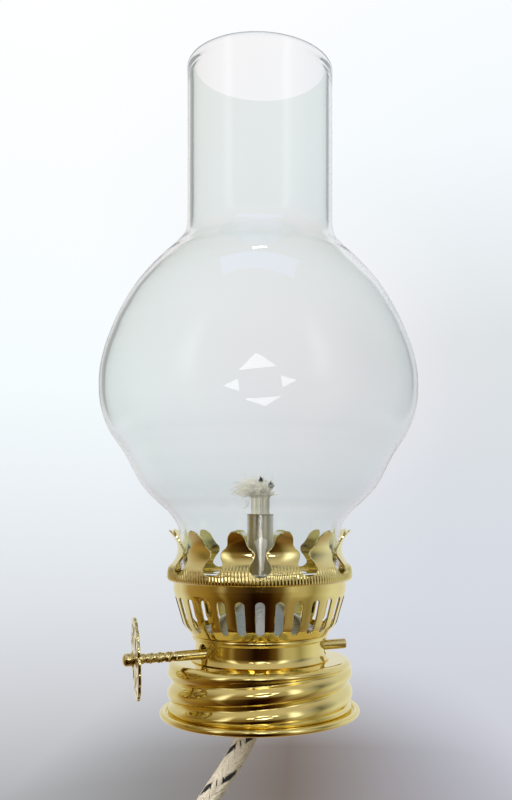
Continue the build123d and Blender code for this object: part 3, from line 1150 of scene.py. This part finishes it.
def sweep(name, outline_points, material):
    """A surface of revolution for the stage."""
    shape = Shape()
    segments = 160
    rows = [[polar(p.x, TURN * i / segments, p.y) for p in outline_points] for i in range(segments)]
    shape.grid(rows, closed_rows=True)
    mesh = bpy.data.meshes.new(name)
    mesh.from_pydata(shape.verts, [], shape.faces)
    mesh.shade_smooth()
    mesh.materials.append(material)
    made = add(name, mesh)
    return made


BACK = Vector((-sin(CAMERA_TURN), cos(CAMERA_TURN), 0))
RIGHT = Vector((cos(CAMERA_TURN), sin(CAMERA_TURN), 0))


def backdrop():
    """A pale floor that curves up into a wall, darker away from the stretch behind the lamp. Its glow holds
    painted light: a falloff towards the bottom, a painted shadow below the lamp and a painted pool of light
    behind it.
    """
    material, nodes = blank_material("backdrop_paper")
    place = node(nodes, "TexCoord").outputs["Object"]
    unit = node(nodes, "VectorMath", operation="NORMALIZE")
    join(place, unit.inputs[0])
    direction = unit.outputs["Vector"]
    height = between(nodes, along(nodes, direction, (0, 0, 1)), 0, 1, -0.45, 0.65)
    # Painted light falloff: the paper grows darker towards the bottom, by different amounts on the left and
    # the right.
    left_side = ramp(nodes, height, [
        (0.10, (0.45, 0.455, 0.47)), (0.22, (0.60, 0.61, 0.64)), (0.35, (0.74, 0.77, 0.81)),
        (0.60, (0.92, 0.98, 1.0)), (0.95, (1.0, 1.0, 1.0)),
    ])
    right_side = ramp(nodes, height, [
        (0.10, (0.59, 0.59, 0.66)), (0.35, (0.67, 0.70, 0.77)), (0.65, (0.73, 0.77, 0.79)),
        (0.84, (0.90, 0.95, 0.98)), (0.95, (0.95, 0.98, 1.0)),
    ])
    across = between(nodes, along(nodes, direction, RIGHT), 0, 1, -0.25, 0.2)
    painted_falloff = mixed(nodes, across, left_side, right_side)
    # A painted shadow of the lamp on the paper, darkest straight below and behind it.
    sideways = along(nodes, place, RIGHT)
    beside = maths(nodes, "ABSOLUTE", sideways)
    umbra = ramp(nodes, between(nodes, beside, 0, 1, 0.0, 0.16), [
        (0.0, (0.38, 0.31, 0.25)), (0.30, (0.54, 0.50, 0.46)), (0.55, (0.68, 0.67, 0.66)),
        (1.0, (1.0, 1.0, 1.0)),
    ])
    under = between(nodes, height, 0, 1, 0.27, 0.15)
    shadow = mixed(nodes, under, (1, 1, 1, 1), umbra)
    shaded = mixed(nodes, 1.0, painted_falloff, shadow, "MULTIPLY")
    # A painted pool of light on the wall behind the lamp.
    from_middle = node(nodes, "VectorMath", operation="DISTANCE")
    join(place, from_middle.inputs[0])
    from_middle.inputs[1].default_value = BACK * BACKDROP_RADIUS + Vector((0, 0, 0.265))
    light_pool = between(nodes, from_middle.outputs["Value"], 1, 0, 0.10, 0.36)
    lifted = mixed(nodes, 1.0, shaded, (1.10, 1.03, 1.04, 1), "MULTIPLY")
    pooled = mixed(nodes, light_pool, shaded, lifted)
    inside = between(nodes, beside, 1, 0, 0.56, 0.70)
    behind = between(nodes, along(nodes, place, BACK), 0, 1, -0.1, 0.25)
    below_top = between(nodes, along(nodes, place, (0, 0, 1)), 1, 0, 1.08, 1.25)
    lit = maths(nodes, "MULTIPLY", maths(nodes, "MULTIPLY", inside, behind), below_top)
    emission = node(nodes, "Emission")
    join(mixed(nodes, lit, (0.30, 0.34, 0.325, 1), pooled), emission.inputs["Color"])
    show(nodes, emission.outputs["Emission"])
    side, roof = BACKDROP_RADIUS, BACKDROP_HEIGHT
    corners = [(MM, GROUND), (side, GROUND), (side, roof), (MM, roof)]
    made = sweep("backdrop", rounded(corners, [0.7, 0.3], 0.06), material)
    made.visible_glossy = False
    made.visible_diffuse = False
    made.visible_shadow = False


def round_the_lamp(turn, distance, height):
    """A point at an angle from the camera, counted to the right as the camera sees it."""
    angle = radians(turn)
    place = (RIGHT * sin(angle) - BACK * cos(angle)) * distance
    place.z = height
    return place


def aim(made, place, direction):
    """Put an object at a place with its +Z along a direction."""
    made.location = place
    made.rotation_mode = "QUATERNION"
    made.rotation_quaternion = direction.to_track_quat("Z", "Y")


def card(name, centre, towards, outline_points, colour, strength):
    """A flat glowing card that shows only in reflections. Its outline is in metres across and up."""
    mesh = bpy.data.meshes.new(name)
    mesh.from_pydata([(x, y, 0) for x, y in outline_points], [], [tuple(range(len(outline_points)))])
    mesh.materials.append(glow(name, colour, strength))
    made = add(name, mesh)
    aim(made, centre, Vector(towards) - centre)
    made.visible_camera = False
    made.visible_diffuse = False
    made.visible_transmission = False
    made.visible_shadow = False
    made.visible_volume_scatter = False


def tent_opening():
    """The four bright flaps round the opening that the lamp is looked at through."""
    ball = Vector((0, 0, (low("chimney").z + high("chimney").z) / 2 - 18 * MM))
    centre = ball + (CAMERA_AT - ball).normalized() * 0.12
    for i, half_width in enumerate((0.022, 0.010, 0.022, 0.010)):
        turn = pi / 2 * i + radians(-7)
        corners = [Vector((-half_width, 0.024)), Vector((half_width, 0.024)), Vector((0, 0.043))]
        corners = [Matrix.Rotation(turn, 2) @ corner for corner in corners]
        card(f"flap_{i}", centre, ball, corners, (1.0, 1.0, 1.0), 5.0)


def lights():
    """A panel and a strip that show in the glass and the brass, and two lamps for the cotton."""
    middle = Vector((0, 0, 0.04))
    panel = [(-0.12, -0.05), (0.12, -0.05), (0.12, 0.05), (-0.12, 0.05)]
    card("panel", round_the_lamp(0, 0.07, 0.45), (0, 0, 0.09), panel, (0.50, 0.53, 1.0), 2.0)
    strip = [(-0.02, -0.005), (0.02, -0.005), (0.02, 0.005), (-0.02, 0.005)]
    card("strip", Vector((0, 0, 0.45)), middle, strip, (1.0, 0.98, 0.95), 14.0)
    soft_lamp("key", round_the_lamp(0, 0.25, 1.0), middle, 9)
    soft_lamp("fill", round_the_lamp(-35, 0.6, 0.25), middle, 3.2)


def soft_lamp(name, place, towards, energy):
    """A wide round lamp that lights the cotton, and doesn't show in the glass or the brass."""
    made = bpy.data.lights.new(name, "AREA")
    made.shape = "DISK"
    made.size = 0.5
    made.energy = energy
    made.color = (1.0, 0.98, 0.95)
    lamp = add(name, made)
    aim(lamp, place, place - towards)
    lamp.visible_camera = False
    lamp.visible_glossy = False
    lamp.visible_transmission = False


def room():
    """What brass and glass mirror: a dark opening in front, warm to its left, and pale walls round it."""
    world = bpy.data.worlds.new("room")
    world.use_nodes = True
    nodes = world.node_tree.nodes
    nodes.clear()
    direction = node(nodes, "TexCoord").outputs["Generated"]
    bearing = maths(nodes, "ARCTAN2", along(nodes, direction, RIGHT), along(nodes, direction, -BACK))
    turn = between(nodes, bearing, 0, 1, -pi, pi)
    walls = [
        (-180, (0.80, 0.80, 0.78)), (-122, (0.70, 0.69, 0.64)), (-104, (0.40, 0.28, 0.12)),
        (-72, (0.30, 0.20, 0.05)), (-55, (0.17, 0.10, 0.02)), (-48, (0.30, 0.22, 0.09)),
        (-40, (0.12, 0.07, 0.015)), (-22, (0.06, 0.03, 0.012)), (-6, (0.012, 0.004, 0.001)),
        (16, (0.03, 0.010, 0.001)), (31, (0.12, 0.07, 0.015)), (46, (0.50, 0.45, 0.30)),
        (62, (0.50, 0.47, 0.32)), (77, (0.34, 0.31, 0.18)), (92, (0.56, 0.55, 0.43)),
        (110, (0.76, 0.78, 0.74)), (180, (0.80, 0.80, 0.78)),
    ]
    high_walls = [
        (-180, (0.80, 0.82, 0.84)), (-122, (0.62, 0.60, 0.55)), (-100, (0.42, 0.32, 0.17)),
        (-84, (0.18, 0.13, 0.05)), (-60, (0.30, 0.23, 0.10)), (-46, (1.5, 1.5, 1.45)),
        (-37, (0.28, 0.20, 0.09)), (0, (0.16, 0.11, 0.05)), (34, (0.44, 0.41, 0.30)),
        (44, (1.8, 1.8, 1.8)), (56, (0.55, 0.54, 0.50)), (82, (0.16, 0.16, 0.15)),
        (112, (0.66, 0.67, 0.66)), (180, (0.80, 0.82, 0.84)),
    ]
    low_level, high_level = (
        ramp(nodes, turn, [((degrees + 180) / 360, colour) for degrees, colour in stops])
        for stops in (walls, high_walls)
    )
    rise = along(nodes, direction, (0, 0, 1))
    upper = mixed(nodes, between(nodes, rise, 0, 1, -0.12, 0.2), low_level, high_level)
    roofed = mixed(nodes, between(nodes, rise, 0, 1, 0.5, 0.8), upper, (0.58, 0.53, 0.44, 1))
    floor = between(nodes, rise, 1, 0, -0.8, -0.3)
    table = mixed(nodes, 1.0, low_level, (0.45, 0.30, 0.18, 1), "MULTIPLY")
    whole = mixed(nodes, floor, roofed, table)
    background = node(nodes, "Background")
    join(whole, background.inputs["Color"])
    show(nodes, background.outputs["Background"], "OutputWorld")
    bpy.context.scene.world = world


camera()
wick_tail()
wick_tuft()
chimney()
screw_cap()
vent_basket()
burner_sleeve()
prong_crown()
wick_tube()
wick_shaft()
hand_wheel()
hand_wheel_nut()
finish_cad_nodes()
backdrop()
tent_opening()
lights()
room()
bpy.context.scene.view_settings.view_transform = "Standard"
